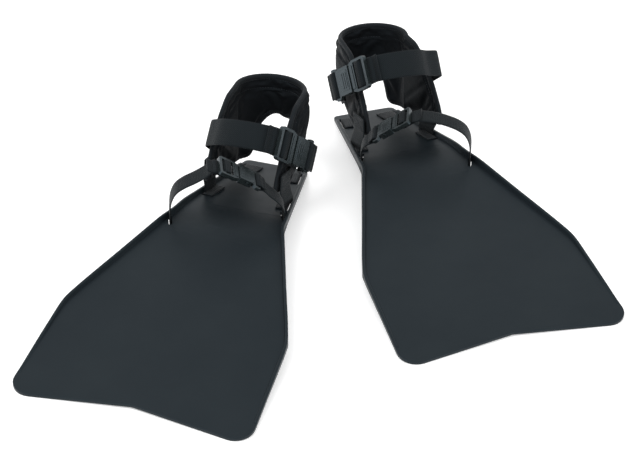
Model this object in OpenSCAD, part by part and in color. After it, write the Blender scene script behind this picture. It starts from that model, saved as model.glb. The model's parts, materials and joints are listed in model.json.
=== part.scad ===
// Pair of strap-on swim fins lying on a floor, mirror images of each other.
// Each fin is one stiff plate bent at a crease: the blade runs down to the tips on one side of the
// crease and the foot platform runs down to the heel edge on the other.
// Fin frame: origin on the floor under the crease, +X to the buckle side, +Y to the heel, +Z up.
// Heel frame: the same, on the platform's top face at the crease, tilted with the platform.

/* [Plate] */
// Crease to the blade's tip corners, along the blade
blade_l = 388; // [300:1:450]
// How far the notch between the tips cuts back
notch_l = 23; // [10:1:60]
// Width over the tips
tip_w = 321; // [260:1:380]
// Width at the knees, where the sides stop flaring
knee_w = 306; // [240:1:360]
// Crease to the knees, along the blade
knee_l = 209; // [150:1:250]
// Width at the crease
waist_w = 160; // [150:1:180]
// Crease to the heel edge, along the platform
heel_l = 218; // [212:1:240]
// Width at the heel edge
heel_w = 94; // [90:1:110]
// Plate thickness
plate_t = 5; // [4:0.5:7]
// Height of the crease's top face over the floor
crease_h = 47.7; // [35:0.1:60]
// Side rail height at the crease
rail_h = 8; // [5:0.5:12]

/* [Pair] */
// Sideways distance between the two creases
pair_gap = 261; // [240:1:320]
// How far the right fin stands behind the left one
pair_stagger = 150; // [0:1:160]
// How far each fin turns outward
splay = 18.05; // [10:0.05:22]

/* [Heel cuff] */
// Radius of the cuff's bend, to the middle of its pad
cuff_r = 50; // [46:1:52]
// Pad thickness
cuff_t = 10; // [8:0.5:12]
// Outward lean of the outer wing in plan: left fin, right fin
cuff_splay = [4, 13]; // [0:1:14]

/* [Webbing and buckles] */
// Wide webbing, used for the ankle
wide_web = 38; // [36:1:40]
// Narrow webbing, used over the instep
narrow_web = 25; // [23:1:26]
// Webbing thickness
web_t = 2; // [1.5:0.1:2.4]
// Middle of the ankle strap over the platform: left fin, right fin
ankle_h = [105, 128]; // [100:1:130]

/* [Hidden] */
$fn = 48;
LEFT = 0;
RIGHT = 1;
FIN_NODES = ["blade", "heel_webbing", "cuff_anchor_inner", "cuff_anchor_outer", "foot_strap_anchors",
             "cuff_leg_inner", "cuff_leg_outer", "cuff_cover", "cuff_foam", "cuff_lining", "cuff_binding",
             "ankle_strap", "ankle_buckle_webbing", "ankle_plug", "ankle_socket",
             "ankle_prong_upper", "ankle_prong_lower",
             "foot_strap", "foot_buckle_webbing", "foot_plug", "foot_socket",
             "foot_prong_rear", "foot_prong_front"];

black_plate = [0.13, 0.14, 0.15];
black_web = [0.06, 0.06, 0.07];
black_pad = [0.09, 0.09, 0.10];
black_clip = [0.16, 0.17, 0.18];

// ---- outlines

// Points of the round of radius r that replaces the corner b between a and c
function round_corner(a, b, c, r, steps = 8) =
    let (u = (a - b) / norm(a - b), v = (c - b) / norm(c - b), half = acos(u * v) / 2,
         d = r / tan(half), mid = b + (u + v) / norm(u + v) * (r / sin(half)),
         p = b + u * d - mid, q = b + v * d - mid,
         from = atan2(p.y, p.x), turn = (atan2(q.y, q.x) - from + 540) % 360 - 180)
    [for (i = [0:steps]) mid + r * [cos(from + turn * i / steps), sin(from + turn * i / steps)]];

// An outline given as [x, y, corner radius], radius 0 for a sharp corner
function rounded(pts) =
    let (n = len(pts), xy = [for (p = pts) [p.x, p.y]])
    [for (i = [0:n - 1]) each pts[i][2] == 0 ? [xy[i]]
        : round_corner(xy[(i + n - 1) % n], xy[i], xy[(i + 1) % n], pts[i][2])];

// An open path moved sideways by e, to the left of its run
function beside(path, e) =
    let (n = len(path))
    [for (i = [0:n - 1])
        let (d = path[min(i + 1, n - 1)] - path[max(i - 1, 0)])
        path[i] + [-d.y, d.x] / norm(d) * e];

// The strip between two such moved paths
function strip(path, right, left) =
    let (far = beside(path, left))
    concat(beside(path, right), [for (i = [len(far) - 1:-1:0]) far[i]]);

function turned(p, a) = [p.x * cos(a) - p.y * sin(a), p.x * sin(a) + p.y * cos(a)];

tip_y = -blade_l;
blade_outline = rounded([
    [waist_w / 2, 0, 0], [-waist_w / 2, 0, 0], [-knee_w / 2, -knee_l, 30], [-tip_w / 2, tip_y, 25],
    [0, tip_y + notch_l, 20], [tip_w / 2, tip_y, 25], [knee_w / 2, -knee_l, 30]]);
heel_outline = rounded([
    [-waist_w / 2, 0, 0], [waist_w / 2, 0, 0], [heel_w / 2, heel_l, 9], [-heel_w / 2, heel_l, 9]]);
blade_reach = -min([for (p = blade_outline) p.y]);

// Tilt at which a plate whose top face starts at the crease touches the floor at distance l
function rest_tilt(l) = asin(crease_h / norm([l, plate_t])) - atan2(plate_t, l);
blade_tilt = rest_tilt(blade_reach);
heel_tilt = rest_tilt(heel_l);
bend = blade_tilt + heel_tilt;

// ---- the cuff's plan path and its side profile, in the heel frame

cuff_y = 155;
cuff_wing = 100;
inner_splay = -3;
function wing_end(s) = cuff_r * [cos(s), -sin(s)] + cuff_wing * [sin(s), -cos(s)];
// From the inner wing's end round the heel to the outer wing's end
function cuff_path(side) =
    let (s = cuff_splay[side], from = -inner_splay, steps = 24)
    concat([[0, cuff_y] + wing_end(inner_splay)],
           [for (i = [0:steps]) let (a = from + (180 + s - from) * i / steps)
               [cuff_r * cos(a), cuff_y + cuff_r * sin(a)]],
           [let (e = wing_end(s)) [-e.x, cuff_y + e.y]]);
// Distance of a wing's middle from the fin's centre line at v
function wing_u(s, v) = cuff_r * cos(s) + (cuff_y - cuff_r * sin(s) - v) * tan(s);

cuff_top = 141;
cuff_bottom_edge = [[112, 17], [130, 18], [190, 21], [240, 23]];
cuff_top_edge = [[64, 27], [70, 46], [84, 76], [103, 107], [124, 128], [156, 137], [240, cuff_top]];
binding_h = 6;
tape_out = 0.5;
arch = [[-33, -10], [-33, 36], [-28, 66], [-16, 83], [0, 89], [20, 88], [26, 60], [26, -10]];
// The cuff's lower edge on the inner side, which climbs to the arch
inner_cut = [[106, -10], [106, 16], [119, 24], [138, 40], [175, 73], [200, 85], [240, 87], [240, -10]];

// ---- placing

fin_reach = cuff_y + cuff_r + cuff_t / 2 + 1;
function heel_plan(p, up = 0) = [p.x, p.y * cos(heel_tilt) + up * sin(heel_tilt)];
fin_plan = concat([for (p = blade_outline) [p.x, p.y * cos(blade_tilt)]],
                  [for (p = heel_outline) heel_plan(p)],
                  [for (a = [60:5:120]) heel_plan([fin_reach - cuff_y, 0] * cos(a)
                      + [0, cuff_y + (fin_reach - cuff_y) * sin(a)], cuff_top + binding_h)]);
pair_plan = [for (sx = [-1, 1]) for (p = fin_plan)
    turned([-sx * p.x, p.y], sx * splay) + [sx * pair_gap, sx * pair_stagger] / 2];
origin_y = (min([for (p = pair_plan) p.y]) + max([for (p = pair_plan) p.y])) / 2;

// Puts a fin modelled in the fin frame where it lies; the right fin is the mirror image
module fin(side) {
    sx = side == LEFT ? -1 : 1;
    translate([sx * pair_gap / 2, sx * pair_stagger / 2 - origin_y, 0])
        rotate([0, 0, sx * splay])
            mirror([side == LEFT ? 0 : 1, 0, 0])
                children();
}
module on_blade() {
    translate([0, 0, crease_h]) rotate([blade_tilt, 0, 0]) children();
}
module on_heel() {
    translate([0, 0, crease_h]) rotate([-heel_tilt, 0, 0]) children();
}
module mirrored() {
    children();
    mirror([1, 0, 0]) children();
}
// A shape drawn in the side view (v, w), as thick as it needs to be to cut across the fin
module across_fin(half = 100) {
    rotate([90, 0, 90]) translate([0, 0, -half]) linear_extrude(2 * half) children();
}

// ---- plate

// A rail along the left edge from a to b, its outer face on the edge, tapering from ha to hb
module rail(a, b, ha, hb, w = 4) {
    d = b - a;
    translate([a.x, a.y, -1])
        rotate([0, 0, atan2(d.y, d.x)])
            rotate([90, 0, 0])
                translate([0, 0, -w])
                    linear_extrude(w)
                        polygon([[0, 0], [norm(d), 0], [norm(d), hb + 1], [0, ha + 1]]);
}

edge_turn = atan2((waist_w - heel_w) / 2, heel_l);
slot_w = 6;
slot_in = 9;
cuff_slot_v = 85;
heel_slot_v = 181;
function heel_edge(v) = waist_w / 2 - v * tan(edge_turn);

// The instep strap runs from a slot in the blade's outer side to one in the platform's inner side
foot_slot_out = [-waist_w / 2 + 2, -19];
foot_slot_in = [heel_edge(45) - slot_in, 45];
foot_out = [foot_slot_out.x, foot_slot_out.y * cos(bend), foot_slot_out.y * sin(bend)];
foot_in = [foot_slot_in.x, foot_slot_in.y, 0];
foot_run = foot_in - foot_out;
foot_half = norm(foot_run) / 2;
foot_turn = atan2(foot_run.y, foot_run.x);
foot_rise = asin(foot_run.z / norm(foot_run));

module at_heel_slot(v) {
    translate([heel_edge(v) - slot_in, v, 0]) rotate([0, 0, edge_turn]) children();
}
module at_foot_slot_in() {
    translate([foot_slot_in.x, foot_slot_in.y, 0]) rotate([0, 0, foot_turn]) children();
}
// The inner side of this slot is on its right, so its frame is turned right round
module at_foot_slot_out() {
    translate([foot_slot_out.x, foot_slot_out.y, 0]) rotate([0, 0, foot_turn + 180]) children();
}
module slot(l) {
    translate([-slot_w / 2, -l / 2, -plate_t - 1]) cube([slot_w, l, plate_t + 2]);
}

module blade(side) {
    waist = [-waist_w / 2, 0];
    knee = [-knee_w / 2, -knee_l];
    tip = [-tip_w / 2, tip_y];
    color(black_plate) fin(side) difference() {
        union() {
            on_blade() {
                translate([0, 0, -plate_t]) linear_extrude(plate_t) polygon(blade_outline);
                mirrored() {
                    rail(waist, knee, rail_h, 5);
                    rail(knee, knee + (tip - knee) * 0.75, 5, 0.5);
                }
            }
            on_heel() {
                translate([0, 0, -plate_t]) linear_extrude(plate_t) polygon(heel_outline);
                mirrored() rail([-heel_edge(196), 196], waist, 3, rail_h);
            }
        }
        on_heel() {
            mirrored() {
                at_heel_slot(cuff_slot_v) slot(wide_web + 3);
                at_heel_slot(heel_slot_v) slot(wide_web + 3);
            }
            at_foot_slot_in() slot(narrow_web + 3);
        }
        on_blade() at_foot_slot_out() {
            slot(narrow_web + 3);
            translate([-2, -narrow_web / 2 - 2, 0.02]) cube([20, narrow_web + 4, 12]);
        }
    }
}

// ---- webbing pressed through the plate

lie = 0.2;
stub_top = 2.4;
// Webbing of width w down through a slot, folded inward on top and underneath
module slot_webbing(w, top_l, under_l) {
    translate([-top_l, -w / 2, lie]) cube([top_l + web_t / 2, w, web_t]);
    translate([-web_t / 2, -w / 2, -plate_t - lie - web_t])
        cube([web_t, w, plate_t + lie + web_t + stub_top]);
    translate([-under_l, -w / 2, -plate_t - lie - web_t]) cube([under_l + web_t / 2, w, web_t]);
}
module heel_webbing(side) {
    reach = heel_edge(heel_slot_v) - slot_in - 12;
    color(black_web) fin(side) on_heel() {
        mirrored() at_heel_slot(heel_slot_v) slot_webbing(wide_web, 26, 20);
        translate([-reach, heel_slot_v - wide_web / 2 + 2, -plate_t - lie - web_t])
            cube([2 * reach, wide_web - 6, web_t]);
    }
}
module cuff_anchor_inner(side) {
    color(black_web) fin(side) on_heel() at_heel_slot(cuff_slot_v) slot_webbing(wide_web, 14, 24);
}
module cuff_anchor_outer(side) {
    color(black_web) fin(side) on_heel() mirror([1, 0, 0])
        at_heel_slot(cuff_slot_v) slot_webbing(wide_web, 14, 24);
}
module foot_strap_anchors(side) {
    color(black_web) fin(side) {
        on_heel() at_foot_slot_in() slot_webbing(narrow_web, 1, 22);
        on_blade() at_foot_slot_out() slot_webbing(narrow_web, 1, 12);
    }
}

// ---- heel cuff: cover, foam and lining laid together, with a tape bound round the top edge

// The lower end of webbing that turns about its slot: cut back to a point so that it clears the plate
function pointed(mid, half, low, steep, top) =
    [[mid, low], [mid + half, low + half * tan(steep)], [mid + half, top], [mid - half, top],
     [mid - half, low + half * tan(steep)]];

module cuff_layer(side, right, left) {
    difference() {
        intersection() {
            linear_extrude(cuff_top + 10) polygon(strip(cuff_path(side), right, left));
            across_fin() polygon(concat([[66, 24.5], [105, 24.5]], cuff_bottom_edge,
                [for (i = [len(cuff_top_edge) - 1:-1:0]) cuff_top_edge[i]]));
        }
        translate([0, cuff_y + 80, 0]) rotate([90, 0, 0]) linear_extrude(70) polygon(arch);
        translate([59, 0, 0]) across_fin(50) polygon(inner_cut);
    }
}
module cuff_cover(side) {
    color(black_pad) fin(side) on_heel() cuff_layer(side, -cuff_t / 2, -cuff_t / 2 + 2);
}
module cuff_foam(side) {
    color([0.3, 0.3, 0.3]) fin(side) on_heel() cuff_layer(side, -cuff_t / 2 + 2, cuff_t / 2 - 2);
}
module cuff_lining(side) {
    color(black_pad) fin(side) on_heel() cuff_layer(side, cuff_t / 2 - 2, cuff_t / 2);
}
module cuff_binding(side) {
    color(black_web) fin(side) on_heel() intersection() {
        linear_extrude(cuff_top + 10)
            polygon(strip(cuff_path(side), -cuff_t / 2 - tape_out, cuff_t / 2 + tape_out));
        across_fin() polygon(strip(cuff_top_edge, 0, binding_h));
    }
}

// Webbing from the plate's front slot up the outer face of a wing
module cuff_leg(s) {
    foot = heel_edge(cuff_slot_v) - slot_in;
    face = wing_u(s, cuff_slot_v) * cos(s) + cuff_t / 2 + tape_out + lie + web_t / 2;
    run = [[foot, 0], [foot, 8], [face + (foot - face) * 0.5, 16], [face + 0.4, 24], [face, 32], [face, 48]];
    intersection() {
        translate([0, cuff_slot_v, 0]) rotate([90, 0, s])
            translate([0, 0, -wide_web]) linear_extrude(2 * wide_web)
                polygon(strip(run, -web_t / 2, web_t / 2));
        across_fin() polygon(pointed(cuff_slot_v, wide_web / 2, 3.2, 18, 60));
    }
}
module cuff_leg_inner(side) {
    color(black_web) fin(side) on_heel() cuff_leg(inner_splay);
}
module cuff_leg_outer(side) {
    color(black_web) fin(side) on_heel() mirror([1, 0, 0]) cuff_leg(cuff_splay[side]);
}

// ---- side-release buckle: X along the webbing from plug to socket, Z outward, origin between the halves

function clip_k(web) = web > 30 ? 1.2 : 1;
function clip_w(web) = web + 9;
// Half the width of the part where the halves meet, and the prongs' distance from the middle
function clip_b(web) = clip_w(web) / 2 - 3 * clip_k(web);
function prong_y(web) = clip_b(web) - 5.2 * clip_k(web);
clip_t = 6;
tine_t = 4;
pivot_x = 2.4;
// A closed outline, given by its lower half, mirrored about X
function both_halves(low) =
    rounded(concat(low, [for (i = [len(low) - 1:-1:0]) [low[i].x, -low[i].y, low[i][2]]]));
module window(x0, x1, w) {
    polygon(both_halves([[x0, -w / 2, 0.8], [x1, -w / 2, 0.8]]));
}
module plug(web) {
    k = clip_k(web);
    w = clip_w(web);
    b = clip_b(web);
    translate([0, 0, -clip_t / 2]) linear_extrude(clip_t) difference() {
        polygon(both_halves([[-30 * k, -w / 2, 4 * k], [-8 * k, -w / 2, 4 * k], [0, -b, 0]]));
        window(-26 * k, -19 * k, web + 1.5);
        window(-15 * k, -9 * k, web + 1.5);
    }
    translate([-1, 0, -tine_t / 2]) linear_extrude(tine_t) difference() {
        union() {
            translate([0, -3 * k]) square([16 * k, 6 * k]);
            translate([0, 3 - b]) square([1 + 4.5 * k, 2 * b - 6]);
        }
        for (sy = [-1, 1]) {
            translate([1 + pivot_x * k, sy * prong_y(web)]) circle(2.3 * k);
            translate([1 + pivot_x * k, sy * prong_y(web) - 3.2 * k]) square([4 * k, 6.4 * k]);
            translate([1 - 0.5 * k, sy * (prong_y(web) + 3.3 * k) - 3.3 * k]) square([7 * k, 6.6 * k]);
        }
    }
}
// One spring arm, on the +Y side, with the barb that catches in the socket's window
module prong(web) {
    k = clip_k(web);
    translate([pivot_x * k, prong_y(web), -tine_t / 2]) linear_extrude(tine_t) {
        circle(2 * k);
        polygon([[0, -1.8 * k], [15 * k, -1.4 * k], [16.4 * k, 0.5 * k], [14 * k, 5.2 * k],
                 [10 * k, 5.2 * k], [9 * k, 2 * k], [0, 1.9 * k]]);
    }
}
module socket(web) {
    k = clip_k(web);
    w = clip_w(web);
    b = clip_b(web);
    difference() {
        union() {
            translate([0, 0, -clip_t / 2 - 2]) linear_extrude(clip_t + 4)
                polygon(both_halves([[0.5, -b, 1], [20.5 * k, -b, 2.5], [24 * k, -b + 6 * k, 2]]));
            translate([0, 0, -2.5]) linear_extrude(5)
                polygon(both_halves([[18 * k, -b + 4 * k, 0], [21 * k, -b + 4 * k, 2],
                                     [26.5 * k, -w / 2, 3], [34 * k, -w / 2, 2]]));
        }
        translate([0, 2 - b, -tine_t / 2 - 0.3]) cube([19.4 * k, 2 * b - 4, tine_t + 0.6]);
        translate([11.2 * k, -b - 1, -tine_t / 2 - 0.3]) cube([6.2 * k, 2 * b + 2, tine_t + 0.6]);
        translate([27 * k, -web / 2 - 0.8, -4]) cube([3.6 * k, web + 1.6, 8]);
    }
}

// Where each buckle sits on its strap, in the plane of the strap's run, and how it slopes
ankle_clip = [59.5, -39];
ankle_clip_turn = -68;
foot_clip = [[11, 79], [31, 62]];
foot_clip_turn = [-30, -37];

// Points of a buckle's side view carried into the strap's plane
function from_clip(pts, at, turn) = [for (p = pts) at + turned(p, turn)];
// Webbing into the plug: under the end bar, over the middle bar and down again
function into_plug(web) = let (k = clip_k(web), h = clip_t / 2 + web_t / 2 + 0.3)
    [[-34 * k, -h - 0.6], [-29 * k, -h], [-25.2 * k, -h], [-22.6 * k, 0], [-20.2 * k, h], [-13.9 * k, h],
     [-12.4 * k, 0], [-11.8 * k, -h]];
// Webbing round the socket's end bar
function round_bar(web) = let (k = clip_k(web), h = 2.5 + web_t / 2 + 0.4)
    [[41 * k, 1.3], [35 * k, h], [29.5 * k, h], [28.5 * k, 0], [29.5 * k, -h], [35 * k, -h], [41 * k, -1.5]];

// ---- ankle strap, in a plane that slopes down to the heel; the plane's Y runs forward

ankle_slope = 33;
ankle_v = 52;
function ankle_y(v) = -(v - ankle_v) / cos(ankle_slope);
module on_ankle(side) {
    fin(side) on_heel() translate([0, ankle_v, ankle_h[side]]) rotate([180 - ankle_slope, 0, 0]) children();
}
module at_ankle_clip(side) {
    on_ankle(side) translate([ankle_clip.x, ankle_clip.y, 0]) rotate([0, 0, ankle_clip_turn])
        rotate([-90, 0, 0]) children();
}
// Middle line of webbing lying on a wing at v, leaving room for its lean against the wing
function on_wing(s, v) =
    wing_u(s, v) + (cuff_t / 2 + tape_out + web_t / 2) / cos(s) + lie
        + wide_web / 2 * sin(ankle_slope) * abs(sin(s)) + 0.1;
module run_of_webbing(path, web) {
    translate([0, 0, -web / 2]) linear_extrude(web) polygon(strip(path, -web_t / 2, web_t / 2));
}
module ankle_strap(side) {
    s = cuff_splay[side];
    color(black_web) on_ankle(side) run_of_webbing(concat(
        [for (v = [122, 96, 86]) [-on_wing(s, v), ankle_y(v)]],
        [[-on_wing(s, 80) + 1, ankle_y(79)], [-50, -19], [-39, -9], [-24, -2], [-6, 2], [14, 3], [28, 1]],
        from_clip(into_plug(wide_web), ankle_clip, ankle_clip_turn)), wide_web);
}
module ankle_buckle_webbing(side) {
    color(black_web) on_ankle(side) run_of_webbing(concat(
        from_clip(round_bar(wide_web), ankle_clip, ankle_clip_turn),
        [[67, ankle_y(128)], [on_wing(inner_splay, 135) + 1, ankle_y(135)],
         [on_wing(inner_splay, 141), ankle_y(141)], [on_wing(inner_splay, 152), ankle_y(152)]]), wide_web);
}
module ankle_plug(side) {
    color(black_clip) at_ankle_clip(side) plug(wide_web);
}
module ankle_socket(side) {
    color(black_clip) at_ankle_clip(side) socket(wide_web);
}
module ankle_prong_upper(side) {
    color(black_clip) at_ankle_clip(side) prong(wide_web);
}
module ankle_prong_lower(side) {
    color(black_clip) at_ankle_clip(side) mirror([0, 1, 0]) prong(wide_web);
}

// ---- instep strap, in a plane through its two slots that leans towards the tips

foot_lean = 18;

module on_foot(side) {
    mid = (foot_out + foot_in) / 2;
    fin(side) on_heel() translate(mid) rotate([0, -foot_rise, foot_turn])
        rotate([90 + foot_lean, 0, 0]) children();
}
module at_foot_clip(side) {
    on_foot(side) translate([foot_clip[side].x, foot_clip[side].y, 0]) rotate([0, 0, foot_clip_turn[side]])
        rotate([-90, 0, 0]) children();
}
module instep_webbing(side, path) {
    intersection() {
        on_foot(side) run_of_webbing(path, narrow_web);
        on_foot(side) rotate([0, 90, 0]) translate([0, 0, -100]) linear_extrude(200)
            polygon(pointed(0, narrow_web / 2 + 1, 3.3, 36, 120));
    }
}
module foot_strap(side) {
    color(black_web) instep_webbing(side, concat(
        [[-foot_half, 0], [-foot_half, 10], [-foot_half - 1, 26], [-foot_half + 1, 40]],
        [[-foot_half + 7, 54], [-60, 64]],
        side == LEFT ? [[-46, 72], [-34, 80]] : [[-42, 72], [-22, 77]],
        from_clip(into_plug(narrow_web), foot_clip[side], foot_clip_turn[side])));
}
module foot_buckle_webbing(side) {
    color(black_web) instep_webbing(side, concat(
        from_clip(round_bar(narrow_web), foot_clip[side], foot_clip_turn[side]),
        side == LEFT ? [[56, 46], [66, 36], [73, 27]] : [[73, 28]],
        [[foot_half - 1, 18], [foot_half, 9], [foot_half, 0]]));
}
module foot_plug(side) {
    color(black_clip) at_foot_clip(side) plug(narrow_web);
}
module foot_socket(side) {
    color(black_clip) at_foot_clip(side) socket(narrow_web);
}
module foot_prong_rear(side) {
    color(black_clip) at_foot_clip(side) prong(narrow_web);
}
module foot_prong_front(side) {
    color(black_clip) at_foot_clip(side) mirror([0, 1, 0]) prong(narrow_web);
}

blade(LEFT);  // left_blade
heel_webbing(LEFT);  // left_heel_webbing
cuff_anchor_inner(LEFT);  // left_cuff_anchor_inner
cuff_anchor_outer(LEFT);  // left_cuff_anchor_outer
foot_strap_anchors(LEFT);  // left_foot_strap_anchors
cuff_leg_inner(LEFT);  // left_cuff_leg_inner
cuff_leg_outer(LEFT);  // left_cuff_leg_outer
cuff_cover(LEFT);  // left_cuff_cover
cuff_foam(LEFT);  // left_cuff_foam
cuff_lining(LEFT);  // left_cuff_lining
cuff_binding(LEFT);  // left_cuff_binding
ankle_strap(LEFT);  // left_ankle_strap
ankle_buckle_webbing(LEFT);  // left_ankle_buckle_webbing
ankle_plug(LEFT);  // left_ankle_plug
ankle_socket(LEFT);  // left_ankle_socket
ankle_prong_upper(LEFT);  // left_ankle_prong_upper
ankle_prong_lower(LEFT);  // left_ankle_prong_lower
foot_strap(LEFT);  // left_foot_strap
foot_buckle_webbing(LEFT);  // left_foot_buckle_webbing
foot_plug(LEFT);  // left_foot_plug
foot_socket(LEFT);  // left_foot_socket
foot_prong_rear(LEFT);  // left_foot_prong_rear
foot_prong_front(LEFT);  // left_foot_prong_front
blade(RIGHT);  // right_blade
heel_webbing(RIGHT);  // right_heel_webbing
cuff_anchor_inner(RIGHT);  // right_cuff_anchor_inner
cuff_anchor_outer(RIGHT);  // right_cuff_anchor_outer
foot_strap_anchors(RIGHT);  // right_foot_strap_anchors
cuff_leg_inner(RIGHT);  // right_cuff_leg_inner
cuff_leg_outer(RIGHT);  // right_cuff_leg_outer
cuff_cover(RIGHT);  // right_cuff_cover
cuff_foam(RIGHT);  // right_cuff_foam
cuff_lining(RIGHT);  // right_cuff_lining
cuff_binding(RIGHT);  // right_cuff_binding
ankle_strap(RIGHT);  // right_ankle_strap
ankle_buckle_webbing(RIGHT);  // right_ankle_buckle_webbing
ankle_plug(RIGHT);  // right_ankle_plug
ankle_socket(RIGHT);  // right_ankle_socket
ankle_prong_upper(RIGHT);  // right_ankle_prong_upper
ankle_prong_lower(RIGHT);  // right_ankle_prong_lower
foot_strap(RIGHT);  // right_foot_strap
foot_buckle_webbing(RIGHT);  // right_foot_buckle_webbing
foot_plug(RIGHT);  // right_foot_plug
foot_socket(RIGHT);  // right_foot_socket
foot_prong_rear(RIGHT);  // right_foot_prong_rear
foot_prong_front(RIGHT);  // right_foot_prong_front
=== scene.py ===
import json
import math
import random
import bpy
import bmesh
import numpy as np
from mathutils import Matrix, Vector
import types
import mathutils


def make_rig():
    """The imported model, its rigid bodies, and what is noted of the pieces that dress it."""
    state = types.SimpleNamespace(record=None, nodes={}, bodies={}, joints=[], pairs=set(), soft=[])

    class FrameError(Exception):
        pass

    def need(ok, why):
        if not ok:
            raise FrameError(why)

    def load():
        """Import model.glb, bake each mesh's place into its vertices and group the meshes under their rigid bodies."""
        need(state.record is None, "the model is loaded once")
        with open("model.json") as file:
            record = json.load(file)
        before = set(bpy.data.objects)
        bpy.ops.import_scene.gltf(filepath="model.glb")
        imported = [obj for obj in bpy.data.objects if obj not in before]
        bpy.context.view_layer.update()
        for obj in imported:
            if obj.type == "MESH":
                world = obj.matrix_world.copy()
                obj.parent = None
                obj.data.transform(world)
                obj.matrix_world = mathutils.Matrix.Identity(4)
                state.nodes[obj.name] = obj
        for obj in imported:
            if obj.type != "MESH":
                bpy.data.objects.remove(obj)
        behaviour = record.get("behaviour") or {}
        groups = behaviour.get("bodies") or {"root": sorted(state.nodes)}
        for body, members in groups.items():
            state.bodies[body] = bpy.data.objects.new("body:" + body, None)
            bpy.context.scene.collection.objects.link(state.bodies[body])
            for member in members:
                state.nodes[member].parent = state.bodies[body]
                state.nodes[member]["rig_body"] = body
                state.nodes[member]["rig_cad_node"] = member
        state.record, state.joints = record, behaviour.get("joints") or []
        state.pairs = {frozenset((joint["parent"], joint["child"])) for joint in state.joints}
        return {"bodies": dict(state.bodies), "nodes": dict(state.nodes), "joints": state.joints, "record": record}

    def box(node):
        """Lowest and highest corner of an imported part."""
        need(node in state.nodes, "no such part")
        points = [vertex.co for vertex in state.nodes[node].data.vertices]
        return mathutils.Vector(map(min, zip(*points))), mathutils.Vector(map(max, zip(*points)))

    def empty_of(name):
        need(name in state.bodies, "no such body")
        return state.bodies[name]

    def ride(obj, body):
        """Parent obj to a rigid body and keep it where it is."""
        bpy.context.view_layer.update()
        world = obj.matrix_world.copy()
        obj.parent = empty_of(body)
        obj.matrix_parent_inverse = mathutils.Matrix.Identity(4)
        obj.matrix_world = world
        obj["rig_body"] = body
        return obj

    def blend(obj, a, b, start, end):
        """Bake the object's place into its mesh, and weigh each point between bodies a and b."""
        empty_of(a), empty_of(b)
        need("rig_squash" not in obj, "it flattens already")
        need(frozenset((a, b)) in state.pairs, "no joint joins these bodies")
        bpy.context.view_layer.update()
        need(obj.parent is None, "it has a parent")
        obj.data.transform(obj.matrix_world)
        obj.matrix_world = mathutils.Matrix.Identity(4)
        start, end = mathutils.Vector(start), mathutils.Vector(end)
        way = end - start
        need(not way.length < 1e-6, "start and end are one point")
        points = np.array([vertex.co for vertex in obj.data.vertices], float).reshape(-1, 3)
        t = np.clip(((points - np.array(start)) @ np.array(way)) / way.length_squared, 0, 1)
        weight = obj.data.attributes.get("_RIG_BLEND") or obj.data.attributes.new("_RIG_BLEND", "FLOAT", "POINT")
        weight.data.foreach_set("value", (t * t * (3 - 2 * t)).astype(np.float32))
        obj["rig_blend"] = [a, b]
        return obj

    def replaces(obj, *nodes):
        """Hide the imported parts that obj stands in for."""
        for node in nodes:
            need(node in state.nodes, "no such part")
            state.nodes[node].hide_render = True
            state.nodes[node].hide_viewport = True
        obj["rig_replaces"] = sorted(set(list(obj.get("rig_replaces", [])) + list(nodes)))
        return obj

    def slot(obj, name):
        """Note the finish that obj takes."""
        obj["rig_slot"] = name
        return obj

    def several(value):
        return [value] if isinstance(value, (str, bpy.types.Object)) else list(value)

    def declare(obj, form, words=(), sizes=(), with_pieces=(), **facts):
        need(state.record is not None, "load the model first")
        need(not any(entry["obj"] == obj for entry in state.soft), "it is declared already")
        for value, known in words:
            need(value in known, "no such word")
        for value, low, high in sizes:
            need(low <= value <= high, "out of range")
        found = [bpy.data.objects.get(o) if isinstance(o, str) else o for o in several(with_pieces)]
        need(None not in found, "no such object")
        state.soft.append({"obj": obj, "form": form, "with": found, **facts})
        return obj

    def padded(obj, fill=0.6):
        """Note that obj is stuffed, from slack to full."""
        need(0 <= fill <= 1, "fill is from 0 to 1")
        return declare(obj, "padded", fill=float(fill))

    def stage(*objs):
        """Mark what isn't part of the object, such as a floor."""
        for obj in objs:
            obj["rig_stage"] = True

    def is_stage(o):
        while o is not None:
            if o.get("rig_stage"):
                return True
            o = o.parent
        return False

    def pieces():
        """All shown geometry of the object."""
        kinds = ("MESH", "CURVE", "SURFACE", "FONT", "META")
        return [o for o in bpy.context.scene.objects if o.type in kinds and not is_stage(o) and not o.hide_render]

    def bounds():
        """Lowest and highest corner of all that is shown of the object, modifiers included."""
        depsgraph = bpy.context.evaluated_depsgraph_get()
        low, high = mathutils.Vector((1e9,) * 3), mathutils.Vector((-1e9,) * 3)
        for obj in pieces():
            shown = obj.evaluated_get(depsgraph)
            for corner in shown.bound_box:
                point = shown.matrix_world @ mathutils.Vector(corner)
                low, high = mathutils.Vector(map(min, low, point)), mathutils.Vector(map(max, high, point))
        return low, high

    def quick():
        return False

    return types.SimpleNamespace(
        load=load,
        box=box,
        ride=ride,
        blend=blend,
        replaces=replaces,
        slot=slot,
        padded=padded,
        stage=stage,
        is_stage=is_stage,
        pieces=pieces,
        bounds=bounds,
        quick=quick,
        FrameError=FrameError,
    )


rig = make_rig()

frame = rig.load()
cad_lo, cad_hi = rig.bounds()

MM = 0.001
LEFT, RIGHT = 0, 1
SIDES = ("left", "right")

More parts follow.
